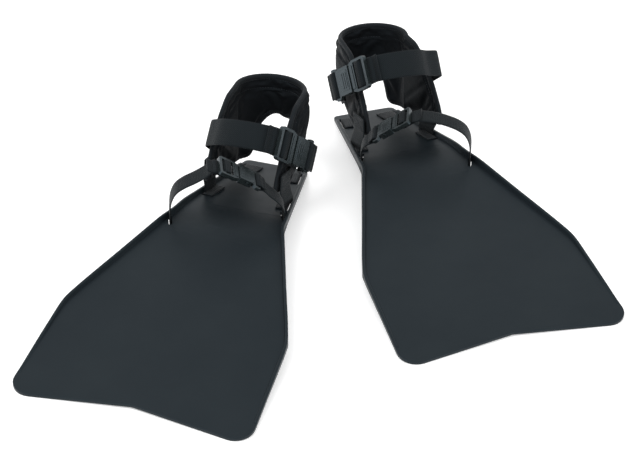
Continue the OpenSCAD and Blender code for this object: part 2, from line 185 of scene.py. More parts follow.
# ---------------------------------------------------------------- the part's own frames (mm)
WAIST, HEEL_L, HEEL_W = 160.0, 218.0, 94.0
KNEE_W, KNEE_L, TIP_W, BLADE_L, NOTCH_L = 306.0, 209.0, 321.0, 388.0, 23.0
PLATE_T, CREASE_H = 5.0, 47.7
GAP, STAGGER, SPLAY = 261.0, 150.0, 18.05
CUFF_R, CUFF_T, CUFF_Y = 50.0, 10.0, 155.0
OUT_SPLAY = (4.0, 13.0)
IN_SPLAY = -3.0
ANKLE_H = (105.0, 128.0)
ANKLE_SLOPE, ANKLE_V = 33.0, 52.0
WIDE, NARROW, WEB_T = 38.0, 25.0, 2.0
FOOT_LEAN = 18.0
TAPE_OUT = 0.5


def sin(a):
    return math.sin(math.radians(a))


def cos(a):
    return math.cos(math.radians(a))


def tan(a):
    return math.tan(math.radians(a))


def move(x, y, z):
    return Matrix.Translation((x, y, z))


def turn(a, axis):
    return Matrix.Rotation(math.radians(a), 4, axis)


def rest_tilt(reach):
    return math.degrees(math.asin(CREASE_H / math.hypot(reach, PLATE_T)) - math.atan2(PLATE_T, reach))


def round_corner(a, b, c, r, steps=8):
    a, b, c = Vector(a), Vector(b), Vector(c)
    u, v = (a - b).normalized(), (c - b).normalized()
    half = math.acos(max(-1, min(1, u.dot(v)))) / 2
    d = r / math.tan(half)
    mid = b + (u + v).normalized() * (r / math.sin(half))
    p, q = b + u * d - mid, b + v * d - mid
    start = math.atan2(p.y, p.x)
    sweep = (math.atan2(q.y, q.x) - start + 3 * math.pi) % (2 * math.pi) - math.pi
    return [mid + r * Vector((math.cos(start + sweep * i / steps), math.sin(start + sweep * i / steps)))
            for i in range(steps + 1)]


def rounded(points):
    out = []
    n = len(points)
    for i, (x, y, r) in enumerate(points):
        if r == 0:
            out.append(Vector((x, y)))
        else:
            out += round_corner(points[i - 1][:2], (x, y), points[(i + 1) % n][:2], r)
    return out


# x, y and corner radius
BLADE_CORNERS = [(-WAIST / 2, 0, 0), (-KNEE_W / 2, -KNEE_L, 30), (-TIP_W / 2, -BLADE_L, 25),
                 (0, NOTCH_L - BLADE_L, 20),
                 (TIP_W / 2, -BLADE_L, 25), (KNEE_W / 2, -KNEE_L, 30), (WAIST / 2, 0, 0)]
BLADE_OUT = rounded(BLADE_CORNERS)
BLADE_TILT = rest_tilt(-min(p.y for p in BLADE_OUT))
HEEL_TILT = rest_tilt(HEEL_L)
BEND = BLADE_TILT + HEEL_TILT


# Where the fin lies in the row frame comes from the CAD model: its own box fixes the shift along Y.
def fin_matrix(side, shift):
    sx = -1 if side == LEFT else 1
    m = move(sx * GAP / 2, sx * STAGGER / 2 + shift, 0) @ turn(sx * SPLAY, "Z")
    return m @ Matrix.Diagonal((1 if side == LEFT else -1, 1, 1, 1))


ON_HEEL = move(0, 0, CREASE_H) @ turn(-HEEL_TILT, "X")
ON_BLADE = move(0, 0, CREASE_H) @ turn(BLADE_TILT, "X")


def shift_from_cad():
    low = min((fin_matrix(LEFT, 0) @ ON_BLADE @ Vector((p.x, p.y, 0))).y for p in BLADE_OUT)
    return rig.box("left_blade")[0][1] / MM - low


SHIFT = shift_from_cad()
FIN = [fin_matrix(s, SHIFT) for s in (LEFT, RIGHT)]
HEEL = [m @ ON_HEEL for m in FIN]
TO_M = Matrix.Diagonal((MM, MM, MM, 1))

EDGE_TURN = math.degrees(math.atan2((WAIST - HEEL_W) / 2, HEEL_L))


def heel_edge(v):
    return WAIST / 2 - v * tan(EDGE_TURN)


SLOT_IN, CUFF_SLOT_V, HEEL_SLOT_V = 9.0, 85.0, 181.0
FOOT_OUT_B = Vector((-WAIST / 2 + 2, -19, 0))
FOOT_OUT = Vector((FOOT_OUT_B.x, FOOT_OUT_B.y * cos(BEND), FOOT_OUT_B.y * sin(BEND)))
FOOT_IN = Vector((heel_edge(45) - SLOT_IN, 45, 0))
FOOT_RUN = FOOT_IN - FOOT_OUT
FOOT_HALF = FOOT_RUN.length / 2
FOOT_TURN = math.degrees(math.atan2(FOOT_RUN.y, FOOT_RUN.x))
FOOT_RISE = math.degrees(math.asin(FOOT_RUN.z / FOOT_RUN.length))
FOOT_FRAME = [h @ Matrix.Translation((FOOT_OUT + FOOT_IN) / 2) @ turn(FOOT_TURN, "Z") @ turn(-FOOT_RISE, "Y")
              @ turn(90 + FOOT_LEAN, "X") for h in HEEL]
ANKLE_FRAME = [HEEL[s] @ move(0, ANKLE_V, ANKLE_H[s]) @ turn(180 - ANKLE_SLOPE, "X") for s in (LEFT, RIGHT)]
ANKLE_CLIP, ANKLE_CLIP_TURN = Vector((59.5, -39)), -68.0
FOOT_CLIP, FOOT_CLIP_TURN = (Vector((11, 79)), Vector((31, 62))), (-30.0, -37.0)


def clip_frame(base, at, angle):
    return base @ move(at.x, at.y, 0) @ turn(angle, "Z") @ turn(-90, "X")


# ---------------------------------------------------------------- materials
def new_material(name, color, rough, spec=0.5):
    m = bpy.data.materials.new(name)
    m.use_nodes = True
    b = m.node_tree.nodes["Principled BSDF"]
    b.inputs["Base Color"].default_value = (*color, 1)
    b.inputs["Roughness"].default_value = rough
    b.inputs["Specular IOR Level"].default_value = spec
    b.inputs["Specular Tint"].default_value = (0.66, 0.86, 1.0, 1)
    return m, m.node_tree, b


def node(tree, kind, **values):
    n = tree.nodes.new(kind)
    for k, v in values.items():
        if hasattr(n, k):
            setattr(n, k, v)
        else:
            n.inputs[k.replace("_", " ")].default_value = v
    return n


def math_node(tree, op, a, b=None):
    n = tree.nodes.new("ShaderNodeMath")
    n.operation = op
    for i, x in enumerate([a, b]):
        if x is None:
            continue
        if isinstance(x, (int, float)):
            n.inputs[i].default_value = x
        else:
            tree.links.new(x, n.inputs[i])
    return n.outputs[0]


def bump(tree, bsdf, height, strength, distance, chain=None):
    n = tree.nodes.new("ShaderNodeBump")
    n.inputs["Strength"].default_value = strength
    n.inputs["Distance"].default_value = distance
    tree.links.new(height, n.inputs["Height"])
    if chain is not None:
        tree.links.new(chain, n.inputs["Normal"])
    tree.links.new(n.outputs["Normal"], bsdf.inputs["Normal"])
    return n.outputs["Normal"]


def noise(tree, scale, detail=3.0, rough=0.55, vector=None):
    n = tree.nodes.new("ShaderNodeTexNoise")
    n.inputs["Scale"].default_value = scale
    n.inputs["Detail"].default_value = detail
    n.inputs["Roughness"].default_value = rough
    if vector is None:
        t = tree.nodes.new("ShaderNodeTexCoord")
        vector = t.outputs["Object"]
    tree.links.new(vector, n.inputs["Vector"])
    return n.outputs["Fac"]


def ramp(tree, fac, stops):
    n = tree.nodes.new("ShaderNodeValToRGB")
    e = n.color_ramp.elements
    e[0].position, e[0].color = stops[0][0], (*stops[0][1], 1)
    e[1].position, e[1].color = stops[-1][0], (*stops[-1][1], 1)
    for p, c in stops[1:-1]:
        k = e.new(p)
        k.color = (*c, 1)
    tree.links.new(fac, n.inputs["Fac"])
    return n.outputs["Color"]


def spread(tree, fac, lo, hi):
    n = tree.nodes.new("ShaderNodeMapRange")
    n.inputs["To Min"].default_value = lo
    n.inputs["To Max"].default_value = hi
    tree.links.new(fac, n.inputs["Value"])
    return n.outputs["Result"]


def plate_material():
    m, t, b = new_material("plate_plastic", (0.009, 0.012, 0.0145), 0.46, 0.19)
    broad = noise(t, 9.0, 3.0)
    t.links.new(ramp(t, broad, [(0.3, (0.0075, 0.0105, 0.0130)), (0.7, (0.0100, 0.0135, 0.0160))]),
                b.inputs["Base Color"])
    t.links.new(spread(t, noise(t, 60.0, 4.0), 0.36, 0.50), b.inputs["Roughness"])
    first = bump(t, b, noise(t, 900.0, 2.0), 0.10, 0.0004)
    bump(t, b, noise(t, 30.0, 2.0), 0.06, 0.002, first)
    return m


def buckle_material():
    m, t, b = new_material("buckle_plastic", (0.010, 0.013, 0.013), 0.2, 0.6)
    t.links.new(ramp(t, noise(t, 60.0, 3.0), [(0.3, (0.008, 0.011, 0.011)), (0.7, (0.013, 0.016, 0.016))]),
                b.inputs["Base Color"])
    t.links.new(spread(t, noise(t, 140.0, 3.0), 0.16, 0.34), b.inputs["Roughness"])
    bump(t, b, noise(t, 500.0, 2.0), 0.05, 0.0004)
    return m


def woven(name, color, rough, rib, across, slant=0.0, strength=0.7, depth=0.0005):
    """Weave drawn from the strip's own coordinates: x across, y along, in metres. It is a bump, and also painted shade
    and light in the base colour: darker in the grooves, lighter on the ribs, with a fine random tone mixed in.
    """
    m, t, b = new_material(name, color, rough, 0.16)
    a = node(t, "ShaderNodeAttribute", attribute_name="weave")
    s = t.nodes.new("ShaderNodeSeparateXYZ")
    t.links.new(a.outputs["Vector"], s.inputs[0])
    x, y = s.outputs[0], s.outputs[1]
    along = math_node(t, "ADD", y, math_node(t, "MULTIPLY", x, slant))
    wave_a = math_node(t, "SINE", math_node(t, "MULTIPLY", along, 2 * math.pi / rib))
    wave_b = math_node(t, "SINE", math_node(t, "MULTIPLY", x, 2 * math.pi / across))
    both = math_node(t, "MULTIPLY", wave_a, wave_b)
    height = math_node(t, "ADD", math_node(t, "MULTIPLY", wave_a, 0.6), math_node(t, "MULTIPLY", both, 0.4))
    fine = noise(t, 2500.0, 2.0)
    total = math_node(t, "ADD", math_node(t, "MULTIPLY", height, 0.5), fine)
    # Painted shade and light: the base colour follows the weave's height, dark in the grooves and light on the ribs,
    # plus a fine random tone.
    painted_weave_shade_and_tone = spread(t, total, 0.35, 1.9)
    mix = t.nodes.new("ShaderNodeMix")
    mix.data_type = "RGBA"
    mix.blend_type = "MULTIPLY"
    mix.inputs["Factor"].default_value = 1.0
    mix.inputs["A"].default_value = (*color, 1)
    t.links.new(painted_weave_shade_and_tone, mix.inputs["B"])
    t.links.new(mix.outputs["Result"], b.inputs["Base Color"])
    b.inputs["Sheen Weight"].default_value = 0.03
    b.inputs["Sheen Roughness"].default_value = 0.5
    bump(t, b, total, strength, depth)
    return m


def cloth_material(name, color, rough, fine_scale, sheen):
    m, t, b = new_material(name, color, rough, 0.1)
    c = t.nodes.new("ShaderNodeTexCoord")
    wave = t.nodes.new("ShaderNodeTexVoronoi")
    wave.inputs["Scale"].default_value = fine_scale
    t.links.new(c.outputs["Object"], wave.inputs["Vector"])
    blotch = noise(t, 40.0, 4.0)
    dark, light = tuple(0.75 * x for x in color), tuple(1.3 * x for x in color)
    t.links.new(ramp(t, blotch, [(0.25, dark), (0.75, light)]), b.inputs["Base Color"])
    t.links.new(spread(t, blotch, rough - 0.1, rough + 0.1), b.inputs["Roughness"])
    b.inputs["Sheen Weight"].default_value = sheen
    b.inputs["Sheen Roughness"].default_value = 0.45
    first = bump(t, b, wave.outputs["Distance"], 0.35, 0.0006)
    bump(t, b, noise(t, 120.0, 4.0), 0.25, 0.0015, first)
    return m


PLATE = plate_material()
BUCKLE = buckle_material()
WEB_WIDE = woven("webbing_wide", (0.0048, 0.0058, 0.0064), 0.62, 0.0028, 0.0030, slant=0.8)
WEB_NARROW = woven("webbing_narrow", (0.0048, 0.0058, 0.0064), 0.58, 0.0024, 0.0016)
WEB_PLATE = woven("webbing_plate", (0.010, 0.011, 0.012), 0.58, 0.0030, 0.0018)
TAPE = woven("binding_tape", (0.007, 0.0075, 0.0085), 0.6, 0.0016, 0.0014)
CUFF = cloth_material("cuff_cloth", (0.0048, 0.0052, 0.0060), 0.6, 1400.0, 0.02)
THREAD = new_material("thread", (0.022, 0.023, 0.025), 0.6)[0]


# ---------------------------------------------------------------- mesh helpers
def flat_det(m):
    return m.to_3x3().determinant()


def build(name, verts, faces, material, matrix, weave=None, smooth=True):
    """verts in mm in the frame that matrix carries to the row frame."""
    whole = TO_M @ matrix
    mesh = bpy.data.meshes.new(name)
    if flat_det(matrix) < 0:
        faces = [tuple(reversed(f)) for f in faces]
    mesh.from_pydata([whole @ Vector(v) for v in verts], [], faces)
    mesh.materials.append(material)
    if weave is not None:
        a = mesh.attributes.new("weave", "FLOAT_VECTOR", "POINT")
        a.data.foreach_set("vector", np.array([(x * MM, y * MM, 0) for x, y in weave], np.float32).ravel())
    mesh.validate()
    if smooth:
        mesh.shade_smooth()
    o = bpy.data.objects.new(name, mesh)
    bpy.context.scene.collection.objects.link(o)
    return o


def bevel(o, width, segments=3, angle=35):
    b = o.modifiers.new("bevel", "BEVEL")
    b.width = width
    b.segments = segments
    b.limit_method = "ANGLE"
    b.angle_limit = math.radians(angle)
    b.harden_normals = False
    w = o.modifiers.new("normals", "WEIGHTED_NORMAL")
    w.keep_sharp = True
    return o


def smooth_path(points, step):
    """Catmull-Rom through the points, then evenly spaced."""
    p = [np.array(q, float) for q in points]
    p = [2 * p[0] - p[1]] + p + [2 * p[-1] - p[-2]]
    dense = []
    for i in range(1, len(p) - 2):
        d = [max(np.linalg.norm(p[i + k + 1] - p[i + k]), 1e-6) ** 0.5 for k in (-1, 0, 1)]
        t0, t1 = 0.0, d[0]
        t2, t3 = d[0] + d[1], d[0] + d[1] + d[2]
        for t in np.linspace(t1, t2, 24, endpoint=False):
            a1 = (t1 - t) / (t1 - t0) * p[i - 1] + (t - t0) / (t1 - t0) * p[i]
            a2 = (t2 - t) / (t2 - t1) * p[i] + (t - t1) / (t2 - t1) * p[i + 1]
            a3 = (t3 - t) / (t3 - t2) * p[i + 1] + (t - t2) / (t3 - t2) * p[i + 2]
            b1 = (t2 - t) / (t2 - t0) * a1 + (t - t0) / (t2 - t0) * a2
            b2 = (t3 - t) / (t3 - t1) * a2 + (t - t1) / (t3 - t1) * a3
            dense.append((t2 - t) / (t2 - t1) * b1 + (t - t1) / (t2 - t1) * b2)
    dense.append(p[-2])
    dense = np.array(dense)
    s = np.concatenate([[0], np.cumsum(np.linalg.norm(np.diff(dense, axis=0), axis=1))])
    n = max(2, int(round(s[-1] / step)) + 1)
    even = np.linspace(0, s[-1], n)
    return np.stack([np.interp(even, s, dense[:, k]) for k in range(dense.shape[1])], axis=1)


def strap_profile(w, t, steps=14):
    """Closed outline of webbing across its width: flat, with thinner rounded selvedges."""
    top = []
    for i in range(steps + 1):
        f = -1 + 2 * i / steps
        f = math.copysign(abs(f) ** 0.8, f)
        h = t / 2 * (1 - 0.55 * abs(f) ** 8)
        top.append((f * w / 2, h))
    return top + [(x, -y) for x, y in reversed(top)]


def sweep(name, centres, across, normals, profile, material, matrix, closed=False):
    n, k = len(centres), len(profile)
    length = np.concatenate([[0], np.cumsum(np.linalg.norm(np.diff(np.array(centres), axis=0), axis=1))])
    verts, weave = [], []
    for i in range(n):
        c, a, u = (np.array(q[i], float) for q in (centres, across, normals))
        for x, y in profile:
            verts.append(c + a * x + u * y)
            weave.append((x, length[i]))
    faces = []
    for i in range(n if closed else n - 1):
        j = (i + 1) % n
        for m in range(k):
            q = (m + 1) % k
            faces.append((i * k + m, i * k + q, j * k + q, j * k + m))
    if not closed:
        faces.append(tuple(range(k - 1, -1, -1)))
        faces.append(tuple((n - 1) * k + m for m in range(k)))
    return build(name, verts, faces, material, matrix, weave)


def strap_in_plane(name, points, w, material, matrix, t=WEB_T, step=1.6, edge=None, ripple=0.0, seed=1):
    """Webbing whose run is given in the plane of matrix; its width stands along that frame's Z."""
    path = smooth_path(points, step)
    d = np.gradient(path, axis=0)
    d /= np.linalg.norm(d, axis=1)[:, None]
    normal = np.stack([-d[:, 1], d[:, 0], np.zeros(len(d))], axis=1)
    draw = random.Random(seed)
    phase = [draw.uniform(0, 6.28) for _ in range(3)]
    s = np.linspace(0, 1, len(path))
    wave = ripple * (np.sin(9 * s + phase[0]) + 0.6 * np.sin(21 * s + phase[1]))
    fade = np.minimum(1, np.minimum(s, 1 - s) * 8)
    centres = np.concatenate([path, np.zeros((len(path), 1))], axis=1) + normal * (wave * fade)[:, None]
    across = np.tile([0.0, 0, 1], (len(path), 1))
    tilt = 0.03 * np.sin(7 * s + phase[2]) * fade * (1 if ripple else 0)
    across = across + normal * tilt[:, None]
    if edge is not None:
        centres = centres + np.array([edge(c) for c in centres])
    return sweep(name, centres, across, normal, strap_profile(w, t), material, matrix)


# Along a stitch: how far, its radius and its lift, as parts of the thread's length and radius
STITCH_RINGS = ((0, 0.25, -0.25), (0.18, 0.9, 0.12), (0.5, 1.0, 0.2), (0.82, 0.9, 0.12), (1, 0.25, -0.25))


def stitches(name, lines, material, matrix, length=2.6, gap=1.3, radius=0.32):
    """Rows of thread along lines of (point, normal), half sunk in the surface."""
    verts, faces = [], []
    ring = 6
    for line in lines:
        p = np.array([q[0] for q in line], float)
        nrm = np.array([q[1] for q in line], float)
        s = np.concatenate([[0], np.cumsum(np.linalg.norm(np.diff(p, axis=0), axis=1))])
        at = 0.8
        while at + length < s[-1]:
            a, b = (np.array([np.interp(x, s, p[:, k]) for k in range(3)]) for x in (at, at + length))
            u = np.array([np.interp(at + length / 2, s, nrm[:, k]) for k in range(3)])
            u /= np.linalg.norm(u)
            d = (b - a) / np.linalg.norm(b - a)
            side = np.cross(d, u)
            base = len(verts)
            for f, r, lift in STITCH_RINGS:
                c = a + (b - a) * f + u * lift * radius * 1.6
                for k in range(ring):
                    g = 2 * math.pi * k / ring
                    verts.append(c + radius * r * (side * math.cos(g) + u * math.sin(g)))
            for i in range(4):
                low, high = base + i * ring, base + (i + 1) * ring
                for k in range(ring):
                    j = (k + 1) % ring
                    faces.append((low + k, high + k, high + j, low + j))
            faces.append(tuple(base + k for k in range(ring)))
            faces.append(tuple(base + 4 * ring + k for k in reversed(range(ring))))
            at += length + gap
    return build(name, verts, faces, material, matrix)


def from_cad(name, cad, material, width=0.0006):
    """A finished copy of a moulded CAD piece: rounded edges and the piece's own finish."""
    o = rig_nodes[cad].copy()
    o.data = o.data.copy()
    for key in list(o.keys()):
        del o[key]
    o.name = name
    o.parent = None
    o.matrix_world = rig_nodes[cad].matrix_world.copy()
    bpy.context.scene.collection.objects.link(o)
    o.data.materials.clear()
    o.data.materials.append(material)
    for poly in o.data.polygons:
        poly.material_index = 0
    b = bmesh.new()
    b.from_mesh(o.data)
    bmesh.ops.remove_doubles(b, verts=b.verts, dist=2e-6)
    bmesh.ops.dissolve_limit(b, angle_limit=math.radians(1), verts=b.verts, edges=b.edges)
    b.to_mesh(o.data)
    b.free()
    o.data.shade_smooth()
    return bevel(o, width)


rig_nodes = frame["nodes"]


# ---------------------------------------------------------------- the plate
def plate_point(x, s, h):
    """A point h above the unfolded plate at (x, s), after the soft bend at the crease."""
    d = 42.0
    blade, heel = ON_BLADE, ON_HEEL
    if s <= -d:
        return blade @ Vector((x, s, h))
    if s >= d:
        return heel @ Vector((x, s, h))
    t = (s + d) / (2 * d)
    a, c, b = blade @ Vector((x, -d, 0)), Vector((x, 0, CREASE_H)), heel @ Vector((x, d, 0))
    p = a * (1 - t) ** 2 + c * 2 * t * (1 - t) + b * t ** 2
    tangent = ((c - a) * (1 - t) + (b - c) * t).normalized()
    n = Vector((0, -tangent.z, tangent.y))
    return p + n * h


def slot_outline(cx, cy, angle, l, w=6.0):
    r = 0.43 * w
    pts = rounded([(-w / 2, -l / 2, r), (w / 2, -l / 2, r), (w / 2, l / 2, r), (-w / 2, l / 2, r)])
    c, s = cos(angle), sin(angle)
    return [Vector((cx + p.x * c - p.y * s, cy + p.x * s + p.y * c)) for p in pts]


def all_slots():
    out = []
    for sx in (-1, 1):
        for v in (CUFF_SLOT_V, HEEL_SLOT_V):
            out.append(slot_outline(sx * (heel_edge(v) - SLOT_IN), v, sx * EDGE_TURN, WIDE + 3))
    out.append(slot_outline(FOOT_IN.x, FOOT_IN.y, FOOT_TURN, NARROW + 3))
    out.append(slot_outline(FOOT_OUT_B.x, FOOT_OUT_B.y, FOOT_TURN, NARROW + 1, 4.0))
    return out


def fin_outline():
    heel = rounded([(WAIST / 2, 0, 0), (HEEL_W / 2, HEEL_L, 9), (-HEEL_W / 2, HEEL_L, 9), (-WAIST / 2, 0, 0)])
    blade = [p for p in BLADE_OUT]
    return blade[1:-1] + round_corner(BLADE_CORNERS[-2][:2], (WAIST / 2, 0), (HEEL_W / 2, HEEL_L), 40) \
        + heel[1:-1] + round_corner((-HEEL_W / 2, HEEL_L), (-WAIST / 2, 0), BLADE_CORNERS[1][:2], 40)


def plate_mesh():
    """The unfolded plate with its slots, cut into bands so that it can bend."""
    curve = bpy.data.curves.new("plate", "CURVE")
    curve.dimensions = "2D"
    curve.fill_mode = "BOTH"
    curve.extrude = PLATE_T / 2 - 0.8
    curve.bevel_depth = 0.8
    curve.bevel_resolution = 2
    curve.offset = -0.8
    for outline in [fin_outline()] + all_slots():
        s = curve.splines.new("POLY")
        s.points.add(len(outline) - 1)
        for p, q in zip(s.points, outline):
            p.co = (q.x, q.y, 0, 1)
        s.use_cyclic_u = True
    o = bpy.data.objects.new("plate", curve)
    bpy.context.scene.collection.objects.link(o)
    mesh = bpy.data.meshes.new_from_object(o.evaluated_get(bpy.context.evaluated_depsgraph_get()))
    bpy.data.objects.remove(o)
    b = bmesh.new()
    b.from_mesh(mesh)
    bmesh.ops.remove_doubles(b, verts=b.verts, dist=0.01)
    # Cuts are nudged off the outline's own corners
    cuts = [((0, float(s) + 0.37, 0), (0, 1, 0)) for s in (*np.arange(-380, 220, 20), *np.arange(-44, 46, 4))]
    cuts += [((x + 0.41, 0, 0), (1, 0, 0)) for x in range(-150, 151, 20)]
    for at, across in cuts:
        bmesh.ops.bisect_plane(b, geom=b.verts[:] + b.edges[:] + b.faces[:], plane_co=at, plane_no=across)
    b.to_mesh(mesh)
    b.free()
    return mesh


PLATE_MESH = plate_mesh()


def plate(side):
    verts = [plate_point(v.co.x, v.co.y, v.co.z - PLATE_T / 2) for v in PLATE_MESH.vertices]
    faces = [tuple(p.vertices) for p in PLATE_MESH.polygons]
    o = build(SIDES[side] + "_fin_plate", verts, faces, PLATE, FIN[side])
    w = o.modifiers.new("normals", "WEIGHTED_NORMAL")
    w.keep_sharp = True
    return o


def side_rails(side):
    """Raised beads along both edges of the blade and, lower, of the platform."""
    out = []
    for sx in (-1, 1):
        line = [(-TIP_W / 2 + 1.6, -352), (-KNEE_W / 2 - 3, -260), (-KNEE_W / 2 - 0.2, -KNEE_L - 4),
                (-KNEE_W / 2 + 5.8, -KNEE_L + 18), (-114, -97), (-WAIST / 2 - 9.0, -26),
                (-WAIST / 2 + 0.1, -1), (-heel_edge(26), 26), (-heel_edge(110), 110), (-heel_edge(200), 200)]
        path = smooth_path(line, 5)
        d = np.gradient(path, axis=0)
        d /= np.linalg.norm(d, axis=1)[:, None]
        inward = np.stack([d[:, 1], -d[:, 0]], axis=1)
        verts = []
        for p, n in zip(path, inward):
            s = p[1]
            h = np.interp(s, [-352, -300, -209, 0, 60, 196, 201], [0.2, 2.0, 5.0, 8.0, 6.0, 3.0, 0.4])
            section = ((0.2, -3.0), (0.2, h - 0.9), (0.5, h - 0.3), (1.1, h), (3.2, h), (3.9, h - 0.3),
                       (4.3, h - 1.0), (4.9, 0.4), (5.6, -0.4), (5.6, -3.0))
            for x, y in section:
                q = p + n * x
                verts.append(plate_point(sx * q[0], q[1], y))
        k = 10
        faces = []
        for i in range(len(path) - 1):
            for m in range(k):
                q = (m + 1) % k
                f = (i * k + m, i * k + q, (i + 1) * k + q, (i + 1) * k + m)
                faces.append(f if sx > 0 else f[::-1])
        faces.append(tuple(range(k))[::-1] if sx > 0 else tuple(range(k)))
        last = tuple((len(path) - 1) * k + m for m in range(k))
        faces.append(last if sx > 0 else last[::-1])
        o = build(f"{SIDES[side]}_edge_rail_{'a' if sx < 0 else 'b'}", verts, faces, PLATE, FIN[side])
        b = bmesh.new()
        b.from_mesh(o.data)
        bmesh.ops.recalc_face_normals(b, faces=b.faces)
        b.to_mesh(o.data)
        b.free()
        out.append(o)
    return out


# ---------------------------------------------------------------- webbing through the plate
def slot_webbing_path(top_l, under_l, top_h=1.2):
    return [(-top_l, top_h), (-top_l * 0.5, top_h + 0.2), (-3.0, top_h), (-0.6, top_h - 0.8), (0, -1.5),
            (0, -PLATE_T + 1.0), (-1.0, -PLATE_T - 0.8), (-4.0, -PLATE_T - 1.25), (-under_l, -PLATE_T - 1.25)]


def slot_frame(base, x, y, angle, mirrored=False):
    m = base
    if mirrored:
        m = m @ Matrix.Diagonal((-1, 1, 1, 1))
    return m @ move(x, y, 0) @ turn(angle, "Z") @ turn(90, "X")


def crossed_box(corners, normal):
    """Lines of thread round four corners and across both diagonals, all with one normal."""
    def line(a, b):
        return [(np.array(a) * (1 - f) + np.array(b) * f, normal) for f in np.linspace(0, 1, 12)]
    sides = [line(corners[i], corners[(i + 1) % 4]) for i in range(4)]
    return sides + [line(corners[0], corners[2]), line(corners[1], corners[3])]


def box_stitch(u0, u1, half, top):
    return crossed_box([(u0, top, -half), (u1, top, -half), (u1, top, half), (u0, top, half)], (0, 1, 0))


def plate_webbing(side):
    """Static webbing, riding on the fin."""
    name = SIDES[side]
    got = []
    for mirrored in (False, True):
        tag = "outer" if mirrored else "inner"
        f = slot_frame(HEEL[side], heel_edge(HEEL_SLOT_V) - SLOT_IN, HEEL_SLOT_V, EDGE_TURN, mirrored)
        o = strap_in_plane(f"{name}_heel_webbing_{tag}", slot_webbing_path(27, 30), WIDE, WEB_PLATE, f)
        s = stitches(f"{name}_heel_webbing_thread_{tag}", box_stitch(-24, -9, WIDE / 2 - 4, 2.25), THREAD, f)
        got += [o, s]
        f = slot_frame(HEEL[side], heel_edge(CUFF_SLOT_V) - SLOT_IN, CUFF_SLOT_V, EDGE_TURN, mirrored)
        o = strap_in_plane(f"{name}_cuff_anchor_{tag}_web", slot_webbing_path(15, 24), WIDE, WEB_PLATE, f)
        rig.replaces(o, f"{name}_cuff_anchor_{tag}")
        got.append(o)
    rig.replaces(got[0], f"{name}_heel_webbing")
    under = strap_in_plane(f"{name}_heel_webbing_under",
                           [(-24, -PLATE_T - 1.3), (0, -PLATE_T - 1.6), (24, -PLATE_T - 1.3)], WIDE - 4,
                           WEB_PLATE, HEEL[side] @ move(0, HEEL_SLOT_V, 0) @ turn(90, "X"))
    got.append(under)
    f = slot_frame(HEEL[side], FOOT_IN.x, FOOT_IN.y, FOOT_TURN)
    a = strap_in_plane(f"{name}_instep_anchor_inner",
                       [(0, 0.3), (0, -PLATE_T + 1.0), (-1.0, -PLATE_T - 0.8), (-4.0, -PLATE_T - 1.25),
                        (-22, -PLATE_T - 1.25)], NARROW, WEB_NARROW, f)
    f = slot_frame(FIN[side] @ ON_BLADE, FOOT_OUT_B.x, FOOT_OUT_B.y, FOOT_TURN + 180)
    b = strap_in_plane(f"{name}_instep_anchor_outer",
                       [(0, -2.6), (0, -PLATE_T + 0.2), (-1.0, -PLATE_T - 1.4), (-4.0, -PLATE_T - 1.9),
                        (-12, -PLATE_T - 1.6)], NARROW, WEB_NARROW, f)
    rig.replaces(a, f"{name}_foot_strap_anchors")
    got += [a, b]
    for o in got:
        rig.ride(o, f"{name}_fin")
    return got


# ---------------------------------------------------------------- the cuff
TOP_EDGE = [(64, 27), (70, 46), (84, 76), (103, 107), (124, 128), (156, 137), (240, 141)]
BOTTOM_EDGE = [(64, 25), (105, 24.5), (112, 17), (130, 18), (190, 21), (240, 23)]
INNER_CUT = [(105, 16), (119, 24), (138, 40), (175, 73), (200, 85), (240, 87)]
ARCH = [(0, 89), (8, 88), (16, 83), (23, 75), (28, 66), (31.5, 52), (33, 36), (35, 24), (38, 21)]


def wing_u(s, v):
    return CUFF_R * cos(s) + (CUFF_Y - CUFF_R * sin(s) - v) * tan(s)


def cuff_stations(side):
    """(plan point, outward normal) round the cuff, from the inner wing's front to the outer wing's."""
    s_out = OUT_SPLAY[side]
    top = smooth_path(TOP_EDGE, 4.0)
    vs = [p[0] for p in top if p[0] < CUFF_Y - 4]
    out = []
    for v in vs:
        out.append(((wing_u(IN_SPLAY, v), v), (cos(IN_SPLAY), sin(IN_SPLAY))))
    start, end, n = -IN_SPLAY, 180 + s_out, 42
    for i in range(n + 1):
        a = start + (end - start) * i / n
        out.append(((CUFF_R * cos(a), CUFF_Y + CUFF_R * sin(a)), (cos(a), sin(a))))
    for v in reversed(vs):
        out.append(((-wing_u(s_out, v), v), (-cos(s_out), sin(s_out))))
    return out


def edge_heights(p):
    v, u = p[1], abs(p[0])
    top = np.interp(v, [q[0] for q in TOP_EDGE], [q[1] for q in TOP_EDGE])
    low = np.interp(v, [q[0] for q in BOTTOM_EDGE], [q[1] for q in BOTTOM_EDGE])
    if p[0] > 8 and v > 105:
        low = max(low, np.interp(v, [q[0] for q in INNER_CUT], [q[1] for q in INNER_CUT]))
    elif v > 170:
        low = max(low, np.interp(u, [q[0] for q in ARCH], [q[1] for q in ARCH]))
    return low, max(top, low + 1.5)


ROWS = 30


